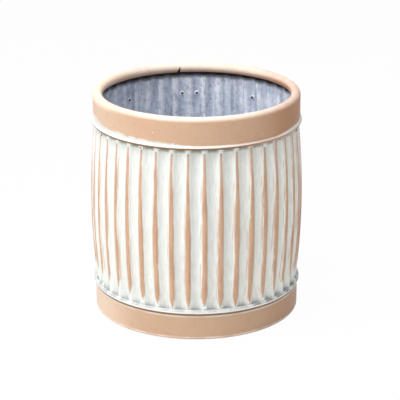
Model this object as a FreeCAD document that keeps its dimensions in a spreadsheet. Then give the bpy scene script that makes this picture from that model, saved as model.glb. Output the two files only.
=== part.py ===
"""Round planter of ribbed sheet metal.

Two corrugated sheets, lapped at the front and at the back, make a barrelled wall. A rim band with a
rolled top edge and a foot band with a turned-in bottom edge go round its two ends. Each band is two
halves with a swaged bead at its inner edge, and blind rivets through small ears under the beads hold
the halves to the rib crests. A pan with drain holes lies on the foot band's flange.

Sizes are in millimetres and angles in degrees. The origin is on the ground at the planter's axis and
+Z is up. Azimuth 0 faces -Y and grows towards +X. Places round the wall are counted in ribs.
"""

import FreeCAD
import Part
import Sketcher

import math
import os

SIZES = (
    ("overall_height", 400.0, "ground to the top of the rim roll"),
    ("band_radius", 182.5, "outer face of the rim band and the foot band"),
    ("band_sheet", 0.9, "thickness of the bands"),
    ("roll_diameter", 17.0, "outer diameter of the rolled rim"),
    ("roll_turn", 300.0, "how far the rim is rolled round"),
    ("rim_depth", 51.9, "top of the rim roll down to the middle of the rim band's bead"),
    ("foot_depth", 51.6, "ground up to the middle of the foot band's bead"),
    ("bead_bend", 3.2, "bend radius of the beads"),
    ("bead_cove", 1.5, "bend radius of the cove beside a bead"),
    ("bead_rise", 70.0, "angle at which the sheet leaves the band to form a bead"),
    ("bead_return", 85.0, "angle at which it comes back to the wall"),
    ("foot_bend", 2.5, "bend radius at the foot band's bottom edge"),
    ("joint_margin", 0.3, "angle from an ear to the joint between band halves"),
    ("joint_gap", 0.15, "angle left open at a band joint"),
    ("crack_width", 7.2, "widest opening of the rim roll's joint at the back"),
    ("crack_top", 3.5, "top of the rim roll down to where that opening closes"),
    ("crack_stop", 5.3, "how far that opening stays behind the band's middle"),
    ("ear_margin", 2.15, "metal beside a rivet in its ear"),
    ("ear_lip", 1.2, "metal above and below a rivet in its ear"),
    ("wall_sheet", 0.8, "thickness of the wall sheets"),
    ("edge_clearance", 0.25, "room between the wall's lower edge and the foot band's bend"),
    ("roll_clearance", 6.0, "room between the wall's upper edge and the rim roll"),
    ("crest_clearance", 0.1, "room between the rib crests and the bands"),
    ("barrel_bulge", 7.0, "how much the wall swells out at its belly"),
    ("barrel_margin", 3.0, "height from the ears to where the swelling starts"),
    ("rib_depth", 6.4, "crest to valley of the ribs"),
    ("crest_share", 0.36, "share of a rib's width that its crest arc takes"),
    ("rib_count", 41, "ribs round the wall"),
    ("first_rib", 4.26, "azimuth of the rib over the front lap"),
    ("front_lap", 0.5, "half the width of the front lap, in ribs"),
    ("rear_lap", 0.75, "half the width of the back lap, in ribs"),
    ("lap_clearance", 0.2, "room between the two sheets in a lap"),
    ("rivet_diameter", 4.8, "shank of a rivet, and its hole"),
    ("flange_lip", 2.2, "how far a rivet's flange stands out beside its shank"),
    ("flange_rise", 1.2, "thickness of a rivet's flange"),
    ("flange_edge", 0.25, "thickness of a rivet's flange at its edge"),
    ("flange_clearance", 0.05, "room between a rivet's flange and the flanks of its rib"),
    ("rivet_wall", 0.75, "metal round the bore that a rivet's mandrel leaves"),
    ("rivet_bore", 3.2, "depth of that bore behind the flange"),
    ("tail_lip", 0.5, "how far a rivet's set tail stands out beside its shank"),
    ("tail_length", 1.5, "length of a rivet's set tail"),
    ("pan_clearance", 0.1, "room between the pan and the inner rib valleys"),
    ("pan_seat", 6.0, "width of the pan's floor that lies on the foot flange"),
    ("pan_height", 15.0, "height of the pan's turned-up rim"),
    ("pan_sheet", 0.9, "thickness of the pan"),
    ("pan_bend", 3.0, "bend radius at the pan's rim"),
    ("ring_radius", 104.0, "inner start of the pan's pressed stiffening ring"),
    ("ring_slope", 35.0, "slope of the ring's flanks"),
    ("ring_bend", 5.0, "bend radius of the ring"),
    ("ring_flank", 2.0, "straight length of the ring's flanks"),
    ("ring_crown", 12.0, "width of the ring's flat top"),
    ("drain_diameter", 10.0, "drain holes"),
    ("drain_circle", 70.0, "radius of the circle of drain holes"),
    ("drain_count", 4, "drain holes in the pan"),
)

RIVET_STEP = 4          # ribs from one rivet to the next
BARREL_STEPS = 6        # straight steps that the swelling is lofted in
TUCK_RUN = 0.9          # ribs over which a sheet steps in before it goes under the other one
TUCK_CLEAR = 0.1        # ribs between the end of that step and the other sheet's edge
EDGE_MATCH = 0.01       # how closely an edge's radius and level have to be met to be chosen

doc = FreeCAD.newDocument("round_planter")
sheet = doc.addObject("Spreadsheet::Sheet", "Sizes")
for row, (alias, value, meaning) in enumerate(SIZES, start=1):
    sheet.set(f"A{row}", meaning)
    sheet.set(f"B{row}", str(value))
    sheet.setAlias(f"B{row}", alias)
doc.recompute()


def size(alias):
    """Return a driving size from the sheet."""
    return float(sheet.get(alias))


RIB_COUNT = round(size("rib_count"))
RIB_PITCH = 360.0 / RIB_COUNT
REAR_RIBS = ((RIB_COUNT - 1) // 2, (RIB_COUNT + 1) // 2)
BAND_MIDDLE = size("band_radius") - size("band_sheet") / 2
BAND_INSIDE = size("band_radius") - size("band_sheet")
CREST_RADIUS = BAND_INSIDE - size("crest_clearance")
LAP_STEP = size("wall_sheet") + size("lap_clearance")
PAN_RADIUS = CREST_RADIUS - size("rib_depth") - size("wall_sheet") - LAP_STEP - size("pan_clearance")
FLANGE_INSIDE = PAN_RADIUS - size("pan_bend") - size("pan_seat")
EAR_REACH = size("rivet_diameter") + 2 * size("ear_lip")
EAR_ANGLE = math.degrees((size("rivet_diameter") + 2 * size("ear_margin")) / size("band_radius"))
AXIS = FreeCAD.Vector(0, 0, 1)


def place(azimuth, radius, height):
    """Return the point at an azimuth in degrees, a radius and a height."""
    turn = math.radians(azimuth)
    return FreeCAD.Vector(radius * math.sin(turn), -radius * math.cos(turn), height)


def rib_azimuth(rib):
    """Return the azimuth of a place counted in ribs from the front lap."""
    return size("first_rib") + rib * RIB_PITCH


class StripPath:
    """Middle line of a bent strip in the plane of radius and height, grown piece by piece."""

    def __init__(self, radius, height, heading):
        self.stations = []
        self.spot = (radius, height)
        self.heading = heading

    def line(self, length):
        """Go straight ahead."""
        ahead = math.radians(self.heading)
        start = self.spot
        self.spot = (start[0] + length * math.cos(ahead), start[1] + length * math.sin(ahead))
        self.stations.append((start, None, self.spot, self.heading, self.heading))
        return self

    def bend(self, radius, turn):
        """Go round an arc, to the left where turn is positive."""
        side = math.copysign(1.0, turn)
        first = self.heading
        ahead = math.radians(first)
        across = side * radius
        centre = (self.spot[0] - across * math.sin(ahead), self.spot[1] + across * math.cos(ahead))

        def on_arc(share):
            now = math.radians(first + share * turn)
            return (centre[0] + across * math.sin(now), centre[1] - across * math.cos(now))

        start = self.spot
        self.spot = on_arc(1.0)
        self.heading = first + turn
        self.stations.append((start, on_arc(0.5), self.spot, first, self.heading))
        return self

    def outline(self, thickness, azimuth):
        """Return the face that the strip's section fills in the plane at an azimuth."""

        def beside(spot, heading, offset):
            ahead = math.radians(heading)
            return place(azimuth, spot[0] - offset * math.sin(ahead), spot[1] + offset * math.cos(ahead))

        edges = []
        ends = []
        for offset in (thickness / 2, -thickness / 2):
            side = []
            for start, middle, finish, first, last in self.stations:
                begin = beside(start, first, offset)
                end = beside(finish, last, offset)
                if middle is None:
                    side.append(Part.LineSegment(begin, end).toShape())
                else:
                    through = beside(middle, (first + last) / 2, offset)
                    side.append(Part.Arc(begin, through, end).toShape())
                ends.append((begin, end))
            edges.extend(side)
        count = len(self.stations)
        edges.append(Part.LineSegment(ends[0][0], ends[count][0]).toShape())
        edges.append(Part.LineSegment(ends[count - 1][1], ends[-1][1]).toShape())
        return Part.Face(Part.Wire(Part.__sortEdges__(edges)))


def section(name, face):
    """Keep a face as a construction object."""
    feature = doc.addObject("Part::Feature", name)
    feature.Shape = face
    return feature


def turned(name, face, angle_expression):
    """Turn a section about the planter's axis through an angle that the sheet gives."""
    feature = doc.addObject("Part::Revolution", name)
    feature.Source = section(f"{name}_section", face)
    feature.Axis = AXIS
    feature.Base = FreeCAD.Vector(0, 0, 0)
    feature.setExpression("Angle", angle_expression)
    feature.Solid = True
    return feature


def bead(path, way):
    """Add a bead to a path that goes along its band; way is 1 going up and -1 going down."""
    back = math.radians(size("bead_return"))
    path.bend(size("bead_cove"), -way * size("bead_rise"))
    path.bend(size("bead_bend"), way * (size("bead_rise") + size("bead_return")))
    reach = path.spot[0] - BAND_INSIDE - size("band_sheet") / 2 * math.cos(back)
    path.line(reach / math.sin(back))
    return path


def bead_start(way):
    """Return the height from a bead's middle to where its cove leaves the band."""
    return -way * (size("bead_cove") + size("bead_bend")) * math.sin(math.radians(size("bead_rise")))


def rim_path():
    """Return the rim band's section, from the roll's free edge round and down to the bead."""
    coil = (size("roll_diameter") - size("band_sheet")) / 2
    centre = size("overall_height") - size("roll_diameter") / 2
    turn = math.radians(size("roll_turn"))
    start = (BAND_MIDDLE - coil + coil * math.cos(turn), centre + coil * math.sin(turn))
    path = StripPath(start[0], start[1], size("roll_turn") - 90.0)
    path.bend(coil, -size("roll_turn"))
    path.line(size("rim_depth") - size("roll_diameter") / 2 - bead_start(-1))
    return bead(path, -1)


def foot_path():
    """Return the foot band's section, from the flange's inner edge round and up to the bead."""
    bend = size("foot_bend")
    level = size("band_sheet") / 2
    path = StripPath(FLANGE_INSIDE, level, 0.0)
    path.line(BAND_MIDDLE - bend - FLANGE_INSIDE)
    path.bend(bend, 90.0)
    path.line(size("foot_depth") + bead_start(1) - level - bend)
    return bead(path, 1)


def ear_face(edge_height, way, azimuth):
    """Return the section of a riveting ear that goes on from a bead's inner edge."""
    inner = BAND_INSIDE
    outer = size("band_radius")
    far = edge_height + way * EAR_REACH
    near = edge_height - way * size("band_sheet") / 2
    corners = [place(azimuth, *spot) for spot in ((inner, near), (outer, near), (outer, far), (inner, far))]
    return Part.Face(Part.makePolygon(corners + corners[:1]))


def drills(name, ribs, height):
    """Return radial drills through the rib crests at a height, as one compound."""
    cutters = []
    for rib in ribs:
        drill = doc.addObject("Part::Cylinder", f"{name}_{rib}")
        drill.setExpression("Radius", "Sizes.rivet_diameter / 2")
        drill.setExpression("Height", "Sizes.rivet_diameter * 4")
        azimuth = rib_azimuth(rib)
        outward = place(azimuth, 1.0, 0.0)
        start = place(azimuth, CREST_RADIUS - 2 * size("rivet_diameter"), height)
        drill.Placement = FreeCAD.Placement(start, FreeCAD.Rotation(AXIS, outward))
        cutters.append(drill)
    group = doc.addObject("Part::Compound", name)
    group.Links = cutters
    return group


def cut(name, base, tool):
    """Cut a tool from a base."""
    feature = doc.addObject("Part::Cut", name)
    feature.Base = base
    feature.Tool = tool
    return feature


def fused(name, shapes):
    """Join several objects that are one piece of sheet."""
    feature = doc.addObject("Part::MultiFuse", name)
    feature.Shapes = shapes
    feature.Refine = True
    return feature


def band_half(name, path, edge_height, way, start, angle_expression, ribs, holes):
    """Return one half of a band, with its ears, drilled for its rivets."""
    band = turned(f"{name}_strip", path.outline(size("band_sheet"), start), angle_expression)
    ears = []
    for rib in ribs:
        face = ear_face(edge_height, way, rib_azimuth(rib) - EAR_ANGLE / 2)
        ears.append(turned(f"{name}_ear_{rib}", face, EAR_SPAN))
    return cut(name, fused(f"{name}_whole", [band] + ears), holes)


def crest_radius(height):
    """Return the radius of the rib crests: straight at both ends, swelling in between."""
    middle = (BARREL_TOP + BARREL_BOTTOM) / 2
    half = (BARREL_TOP - BARREL_BOTTOM) / 2
    return CREST_RADIUS + size("barrel_bulge") * max(0.0, 1.0 - ((height - middle) / half) ** 2)


def arc_drop(across, chord, rise):
    """Return how far an arc lies below its crown, from half its chord and its rise."""
    bend = (chord ** 2 + rise ** 2) / (2 * rise)
    return bend - math.sqrt(bend ** 2 - across ** 2)


def rib_drop(rib):
    """Return how far the corrugation lies below the rib crests: narrow crest arcs, wide valley arcs."""
    depth = size("rib_depth")
    crest = size("crest_share")
    pitch = math.tau * CREST_RADIUS / RIB_COUNT
    off_crest = abs(rib - round(rib))
    if off_crest <= crest / 2:
        return arc_drop(off_crest * pitch, crest * pitch / 2, crest * depth)
    valley = 1.0 - crest
    return depth - arc_drop((0.5 - off_crest) * pitch, valley * pitch / 2, valley * depth)


def tuck(rib, lap_start):
    """Return how far a sheet is set in at a place, so that it goes under the other at a lap."""
    share = (rib - (lap_start - TUCK_CLEAR - TUCK_RUN)) / TUCK_RUN
    share = min(1.0, max(0.0, share))
    return LAP_STEP * share * share * (3 - 2 * share)


def wall_section(first, last, lap_start, height):
    """Return the closed wire of a wall sheet's section at a height, an arc to each crest and valley."""
    half_crest = size("crest_share") / 2
    crests = range(math.floor(first), math.ceil(last) + 1)
    turns = [crest + side for crest in crests for side in (-half_crest, half_crest)]
    breaks = [first] + [turn for turn in turns if first < turn < last] + [last]

    def spot(rib, inset):
        radius = crest_radius(height) - rib_drop(rib) - tuck(rib, lap_start) - inset
        return place(rib_azimuth(rib), radius, height)

    def side(inset):
        return [Part.Arc(spot(start, inset), spot((start + finish) / 2, inset), spot(finish, inset)).toShape()
                for start, finish in zip(breaks, breaks[1:])]

    thick = size("wall_sheet")
    far_edge = Part.LineSegment(spot(last, 0.0), spot(last, thick)).toShape()
    near_edge = Part.LineSegment(spot(first, thick), spot(first, 0.0)).toShape()
    return Part.Wire(side(0.0) + [far_edge] + side(thick)[::-1] + [near_edge])


def wall_levels():
    """Return the heights of the wall's sections."""
    bottom = size("band_sheet") / 2 + size("foot_bend") + size("edge_clearance")
    top = size("overall_height") - size("roll_diameter") - size("roll_clearance")
    run = BARREL_TOP - BARREL_BOTTOM
    swell = [BARREL_BOTTOM + run * k / BARREL_STEPS for k in range(BARREL_STEPS + 1)]
    return [bottom, *swell, top]


def wall_half(name, first, last, lap_start, holes):
    """Return one wall sheet, lofted through its corrugated sections and drilled."""
    loft = doc.addObject("Part::Loft", f"{name}_loft")
    loft.Sections = [section(f"{name}_level_{k}", wall_section(first, last, lap_start, height))
                     for k, height in enumerate(wall_levels())]
    loft.Solid = True
    loft.Ruled = True
    return cut(name, loft, holes)


def wall_inset(rib):
    """Return how far the innermost sheet at a rib is set in."""
    right = tuck(rib, LEFT_RIBS_START) if rib <= RIGHT_RIBS_END else 0.0
    along_left = rib if rib >= LEFT_RIBS_START else rib + RIB_COUNT
    left = tuck(along_left, RIB_COUNT + RIGHT_RIBS_START) if along_left <= LEFT_RIBS_END else 0.0
    return max(right, left)


def rivet(name, rib, height):
    """Return a set blind rivet through the wall at a rib, its flange inside the planter."""
    shank = size("rivet_diameter") / 2
    flange = shank + size("flange_lip")
    core = shank - size("rivet_wall")
    tail = shank + size("tail_lip")
    inside = CREST_RADIUS - size("wall_sheet") - wall_inset(rib)
    touch = inside - rib_drop(math.degrees(flange / inside) / RIB_PITCH) - size("flange_clearance")
    seat = math.sqrt(touch ** 2 - flange ** 2)
    rim = seat - size("flange_edge")
    dome = seat - size("flange_rise")
    floor = seat + size("rivet_bore")
    back = size("band_radius")
    crown = back + size("tail_length")
    outward = place(rib_azimuth(rib), 1.0, 0.0)

    def spot(radius, reach):
        return outward * radius + FreeCAD.Vector(0, 0, height + reach)

    def bowed(start, finish):
        """Return a quarter of a round, rising from a rim and levelling out towards the crown."""
        swing = math.sqrt(0.5)
        across = finish[1] + (start[1] - finish[1]) * swing
        along = start[0] + (finish[0] - start[0]) * swing
        return Part.Arc(spot(*start), spot(along, across), spot(*finish))

    edges = [
        Part.LineSegment(spot(floor, 0), spot(floor, core)),
        Part.LineSegment(spot(floor, core), spot(dome, core)),
        bowed((rim, flange), (dome, core)),
        Part.LineSegment(spot(rim, flange), spot(seat, flange)),
        Part.LineSegment(spot(seat, flange), spot(seat, shank)),
        Part.LineSegment(spot(seat, shank), spot(back, shank)),
        Part.LineSegment(spot(back, shank), spot(back, tail)),
        bowed((back, tail), (crown, core)),
        Part.LineSegment(spot(crown, core), spot(crown, 0)),
        Part.LineSegment(spot(crown, 0), spot(floor, 0)),
    ]
    face = Part.Face(Part.Wire(Part.__sortEdges__([edge.toShape() for edge in edges])))
    feature = doc.addObject("Part::Revolution", name)
    feature.Source = section(f"{name}_section", face)
    feature.Axis = outward
    feature.Base = spot(0, 0)
    feature.Angle = 360.0
    feature.Solid = True
    return feature


def rivet_ring(name, ribs, height):
    """Return the rivets of one band as a group of separate solids."""
    ring = doc.addObject("Part::Compound", name)
    ring.Links = [rivet(f"{name}_{rib}", rib, height) for rib in ribs]
    return ring


def ring_corners():
    """Return the four radii where the pressed ring's straight lines meet, and the underside of its crown."""
    half_slope = math.tan(math.radians(size("ring_slope") / 2))
    slope = math.radians(size("ring_slope"))
    flank = size("ring_flank") + 2 * size("ring_bend") * half_slope
    crown = size("ring_crown") + 2 * (size("ring_bend") - size("pan_sheet") / 2) * half_slope
    first = size("ring_radius") + (size("ring_bend") + size("pan_sheet") / 2) * half_slope
    second = first + flank * math.cos(slope)
    third = second + crown
    fourth = third + flank * math.cos(slope)
    return (first, second, third, fourth), size("band_sheet") + flank * math.sin(slope)


def pan_profile(body, plane):
    """Return the sketch of the pan's outer side, from the axis along the floor and up the rim."""
    sketch = body.newObject("Sketcher::SketchObject", "pan_profile")
    sketch.AttachmentSupport = [(plane, "")]
    sketch.MapMode = "FlatFace"
    (first, second, third, fourth), level = ring_corners()
    under = size("band_sheet")
    top = under + size("pan_height")
    corners = [
        (0.0, under), (first, under), (second, level), (third, level),
        (fourth, under), (PAN_RADIUS, under), (PAN_RADIUS, top), (0.0, top),
    ]
    spots = [FreeCAD.Vector(radius, height, 0) for radius, height in corners]
    for near, far in zip(spots, spots[1:] + spots[:1]):
        sketch.addGeometry(Part.LineSegment(near, far), False)
    floor, flank, crown, far_flank, seat, rim_side, mouth, axis = range(len(spots))
    for line in range(len(spots)):
        sketch.addConstraint(Sketcher.Constraint("Coincident", line, 2, (line + 1) % len(spots), 1))
    for line in (floor, crown, seat, mouth):
        sketch.addConstraint(Sketcher.Constraint("Horizontal", line))
    for line in (rim_side, axis):
        sketch.addConstraint(Sketcher.Constraint("Vertical", line))
    sketch.addConstraint(Sketcher.Constraint("PointOnObject", floor, 1, -2))
    sketch.addConstraint(Sketcher.Constraint("Horizontal", flank, 1, far_flank, 2))
    sketch.addConstraint(Sketcher.Constraint("Equal", flank, far_flank))
    half_slope = "tan(Sizes.ring_slope / 2)"
    foot_bend = "(Sizes.ring_bend + Sizes.pan_sheet / 2)"
    crown_bend = "(Sizes.ring_bend - Sizes.pan_sheet / 2)"
    flank_length = f"Sizes.ring_flank + 2 * Sizes.ring_bend * {half_slope}"
    wall_inside = "Sizes.band_radius - Sizes.band_sheet - Sizes.crest_clearance - Sizes.rib_depth"
    lapped = "2 * Sizes.wall_sheet + Sizes.lap_clearance + Sizes.pan_clearance"
    measures = (
        (("DistanceY", floor, 1, under), "Sizes.band_sheet"),
        (("DistanceX", flank, 1, first), f"Sizes.ring_radius + {foot_bend} * {half_slope}"),
        (("Angle", -1, 1, flank, 1, math.radians(size("ring_slope"))), "Sizes.ring_slope"),
        (("Distance", flank, spots[flank].distanceToPoint(spots[crown])), flank_length),
        (("Distance", crown, third - second), f"Sizes.ring_crown + 2 * {crown_bend} * {half_slope}"),
        (("DistanceX", rim_side, 1, PAN_RADIUS), f"{wall_inside} - ({lapped})"),
        (("Distance", rim_side, size("pan_height")), "Sizes.pan_height"),
    )
    for measure, expression in measures:
        number = sketch.addConstraint(Sketcher.Constraint(*measure))
        sketch.setExpression(f"Constraints[{number}]", expression)
    return sketch


def rounded(body, name, base, radii, level, radius_expression):
    """Round the circular edges of a turned solid that have given radii at a level."""
    doc.recompute()
    edges = []
    for number, edge in enumerate(base.Shape.Edges, start=1):
        curve = edge.Curve
        if isinstance(curve, Part.Circle) and abs(curve.Center.z - level) < EDGE_MATCH:
            if any(abs(curve.Radius - radius) < EDGE_MATCH for radius in radii):
                edges.append(f"Edge{number}")
    feature = body.newObject("PartDesign::Fillet", name)
    feature.Base = (base, edges)
    feature.setExpression("Radius", radius_expression)
    return feature


def base_pan():
    """Return the pan: a disc with a pressed ring, a turned-up rim and drain holes.

    The outer side is turned as a solid and its bends are rounded. It is hollowed from above down to the
    sheet's thickness, and one drain hole is cut and repeated round the axis.
    """
    body = doc.addObject("PartDesign::Body", "base_pan")
    origin = {feature.Role: feature for feature in body.Origin.OriginFeatures}
    sketch = pan_profile(body, origin["XZ_Plane"])
    disc = body.newObject("PartDesign::Revolution", "pan_turned")
    disc.Profile = sketch
    disc.ReferenceAxis = (sketch, ["V_Axis"])
    disc.Angle = 360.0

    under = size("band_sheet")
    (first, second, third, fourth), level = ring_corners()
    bends = (
        ("pan_ring_feet", (first, fourth), under, "Sizes.ring_bend + Sizes.pan_sheet / 2"),
        ("pan_ring_crown", (second, third), level, "Sizes.ring_bend - Sizes.pan_sheet / 2"),
        ("pan_rim_bend", (PAN_RADIUS,), under, "Sizes.pan_bend + Sizes.pan_sheet / 2"),
    )
    bent = disc
    for name, radii, height, radius_expression in bends:
        bent = rounded(body, name, bent, radii, height, radius_expression)

    doc.recompute()
    heights = [face.CenterOfMass.z for face in bent.Shape.Faces]
    hollow = body.newObject("PartDesign::Thickness", "pan_hollow")
    hollow.Base = (bent, [f"Face{heights.index(max(heights)) + 1}"])
    hollow.setExpression("Value", "Sizes.pan_sheet")
    hollow.Reversed = True

    drain = body.newObject("Sketcher::SketchObject", "pan_drain_circle")
    drain.AttachmentSupport = [(origin["XY_Plane"], "")]
    drain.MapMode = "FlatFace"
    middle = FreeCAD.Vector(size("drain_circle"), 0, 0)
    drain.addGeometry(Part.Circle(middle, AXIS, size("drain_diameter") / 2), False)
    drain.addConstraint(Sketcher.Constraint("PointOnObject", 0, 3, -1))
    reach = drain.addConstraint(Sketcher.Constraint("DistanceX", 0, 3, size("drain_circle")))
    drain.setExpression(f"Constraints[{reach}]", "Sizes.drain_circle")
    width = drain.addConstraint(Sketcher.Constraint("Diameter", 0, size("drain_diameter")))
    drain.setExpression(f"Constraints[{width}]", "Sizes.drain_diameter")
    hole = body.newObject("PartDesign::Pocket", "pan_drain")
    hole.Profile = drain
    hole.Type = "ThroughAll"
    hole.Reversed = True
    holes = body.newObject("PartDesign::PolarPattern", "pan_drains")
    holes.Originals = [hole]
    holes.Axis = (origin["Z_Axis"], [""])
    holes.Angle = 360.0
    holes.setExpression("Occurrences", "Sizes.drain_count")
    body.Tip = holes
    doc.recompute()
    if holes.Shape.Volume >= hole.Shape.Volume or hole.Shape.Volume >= hollow.Shape.Volume:
        raise RuntimeError("the pan's drains cut nothing")
    return body


def crack():
    """Return the wedge that opens the rim roll's joint towards the inside at the back."""
    low = size("overall_height") - size("roll_diameter") - size("band_sheet")
    high = size("overall_height") - size("crack_top")
    inner = BAND_MIDDLE - size("roll_diameter") - size("band_sheet")
    along = place(REAR_JOINT + 90.0, size("crack_width"), 0.0)
    corner = place(REAR_JOINT, inner, low)
    wedge = Part.makePolygon([corner, corner + along, place(REAR_JOINT, inner, high), corner])
    feature = doc.addObject("Part::Extrusion", "rim_crack")
    feature.Base = section("rim_crack_section", Part.Face(wedge))
    feature.DirMode = "Custom"
    feature.Dir = place(REAR_JOINT, 1.0, 0.0)
    feature.setExpression("LengthFwd", "Sizes.roll_diameter + Sizes.band_sheet - Sizes.crack_stop")
    feature.Solid = True
    return feature


FRONT_JOINT = rib_azimuth(0) - EAR_ANGLE / 2 - size("joint_margin")
REAR_JOINT = rib_azimuth(REAR_RIBS[1]) + EAR_ANGLE / 2 + size("joint_margin")
EAR_SPAN = "(Sizes.rivet_diameter + 2 * Sizes.ear_margin) / Sizes.band_radius * 180 / pi"
JOINT_SPAN = f"{REAR_RIBS[1]} * 360 / Sizes.rib_count + {EAR_SPAN} + 2 * Sizes.joint_margin"
RIGHT_SPAN = f"{JOINT_SPAN} - Sizes.joint_gap"
LEFT_SPAN = f"360 - ({JOINT_SPAN}) - Sizes.joint_gap"
RIGHT_RIBS = list(range(0, REAR_RIBS[0] - 1, RIVET_STEP)) + list(REAR_RIBS)
LEFT_RIBS = list(range(REAR_RIBS[1] + RIVET_STEP, RIB_COUNT - 1, RIVET_STEP))
RIVET_RIBS = RIGHT_RIBS + LEFT_RIBS
RIGHT_RIBS_START = -size("front_lap")
RIGHT_RIBS_END = sum(REAR_RIBS) / 2 + size("rear_lap")
LEFT_RIBS_START = sum(REAR_RIBS) / 2 - size("rear_lap")
LEFT_RIBS_END = RIB_COUNT + size("front_lap")

rim = rim_path()
foot = foot_path()
rim_edge = rim.spot[1]
foot_edge = foot.spot[1]
BARREL_TOP = rim_edge - EAR_REACH - size("barrel_margin")
BARREL_BOTTOM = foot_edge + EAR_REACH + size("barrel_margin")
rim_level = rim_edge - EAR_REACH / 2
foot_level = foot_edge + EAR_REACH / 2
rim_holes = drills("rim_drills", RIVET_RIBS, rim_level)
foot_holes = drills("foot_drills", RIVET_RIBS, foot_level)
wall_holes = doc.addObject("Part::Compound", "wall_drills")
wall_holes.Links = [rim_holes, foot_holes]

right_rim = band_half("right_rim_band", rim, rim_edge, -1, FRONT_JOINT, RIGHT_SPAN, RIGHT_RIBS, rim_holes)
left_rim_whole = band_half("left_rim_closed", rim, rim_edge, -1, REAR_JOINT, LEFT_SPAN, LEFT_RIBS, rim_holes)
left_rim = cut("left_rim_band", left_rim_whole, crack())
right_foot = band_half("right_foot_band", foot, foot_edge, 1, FRONT_JOINT, RIGHT_SPAN, RIGHT_RIBS, foot_holes)
left_foot = band_half("left_foot_band", foot, foot_edge, 1, REAR_JOINT, LEFT_SPAN, LEFT_RIBS, foot_holes)

right_wall = wall_half("right_wall_sheet", RIGHT_RIBS_START, RIGHT_RIBS_END, LEFT_RIBS_START, wall_holes)
left_lap = RIB_COUNT + RIGHT_RIBS_START
left_wall = wall_half("left_wall_sheet", LEFT_RIBS_START, LEFT_RIBS_END, left_lap, wall_holes)

rim_rivets = rivet_ring("rim_rivets", RIVET_RIBS, rim_level)
foot_rivets = rivet_ring("foot_rivets", RIVET_RIBS, foot_level)
pan = base_pan()

NODES = (right_wall, left_wall, right_rim, left_rim, right_foot, left_foot, pan, rim_rivets, foot_rivets)

doc.recompute()
failed = [thing.Name for thing in doc.Objects if {"Invalid", "Error"} & set(thing.State)]
if failed:
    raise RuntimeError(f"these objects failed: {failed}")
for node in NODES:
    if node.Shape.isNull() or not node.Shape.isValid():
        raise RuntimeError(f"{node.Label} has no valid shape")

os.makedirs("parts", exist_ok=True)
for node in NODES:
    node.Shape.exportStep(f"parts/{node.Label}.step")
    print(f"{node.Label}: {len(node.Shape.Solids)} solids, {node.Shape.Volume:.0f} mm3")
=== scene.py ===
"""Looks of the round planter of ribbed sheet metal.

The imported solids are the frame. The two wall sheets and the four band halves are made again as smooth
surfaces with the same sizes and stand for their nodes. The pan and the rivets keep their solids. The wall
is cream paint, rubbed through to terracotta along its crests, over zinc that shows bare inside. The bands
are terracotta with cream brushed over their beads.

Lengths in the classes are millimetres, and meshes are written in metres. Azimuth 0 faces -Y and grows
towards +X. Places round the wall are counted in ribs from the one over the front lap.
"""

import logging
import math
from dataclasses import dataclass
from enum import Enum
from functools import partial, reduce

import bpy
import numpy as np
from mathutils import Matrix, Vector
from numpy.typing import NDArray

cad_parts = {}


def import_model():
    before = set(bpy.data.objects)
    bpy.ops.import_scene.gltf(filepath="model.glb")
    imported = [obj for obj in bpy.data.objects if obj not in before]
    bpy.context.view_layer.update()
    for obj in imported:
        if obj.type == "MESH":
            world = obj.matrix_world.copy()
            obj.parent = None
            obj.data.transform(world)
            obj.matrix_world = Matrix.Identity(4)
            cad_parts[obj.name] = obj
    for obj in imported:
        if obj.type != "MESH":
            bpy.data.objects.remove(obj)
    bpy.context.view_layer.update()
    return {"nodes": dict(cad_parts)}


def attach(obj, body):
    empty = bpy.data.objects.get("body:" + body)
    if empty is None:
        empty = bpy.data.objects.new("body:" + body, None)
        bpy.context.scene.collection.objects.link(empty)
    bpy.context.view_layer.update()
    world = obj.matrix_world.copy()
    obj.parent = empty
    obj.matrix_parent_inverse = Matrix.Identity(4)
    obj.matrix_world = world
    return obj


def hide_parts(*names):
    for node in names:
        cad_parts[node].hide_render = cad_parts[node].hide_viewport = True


Array = NDArray[np.float64]
Colour = tuple[float, float, float, float]
Socket = bpy.types.NodeSocket
Value = Socket | float
Span = tuple[Value, Value]

LOG = logging.getLogger("planter")
METRE = 0.001
BODY = "root"
SHARP = math.radians(40.0)
WHOLE = (0.0, 1.0)


def tint(red: int, green: int, blue: int) -> Colour:
    """Return a display colour, 0 to 255, as the linear colour that shaders take.

    Args:
        red: Red part as it shows on a screen.
        green: Green part.
        blue: Blue part.

    Returns:
        Linear red, green, blue and an alpha of 1.
    """
    shown = np.array((red, green, blue)) / 255.0
    linear = np.where(shown <= 0.04045, shown / 12.92, ((shown + 0.055) / 1.055) ** 2.4)
    return (float(linear[0]), float(linear[1]), float(linear[2]), 1.0)


def round_axis(azimuth: Array, radius: Array, height: Array) -> Array:
    """Return points round the planter's axis, in millimetres.

    Args:
        azimuth: Angles in degrees, 0 towards -Y and growing towards +X.
        radius: Distances from the axis.
        height: Heights above the ground.

    Returns:
        Points with their three parts on the last axis.
    """
    turn = np.radians(azimuth)
    return np.stack(np.broadcast_arrays(radius * np.sin(turn), -radius * np.cos(turn), height), axis=-1)


class Layer(Enum):
    """Faces of a sheet, in the order of its material slots."""

    OUTSIDE = 0
    INSIDE = 1


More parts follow.
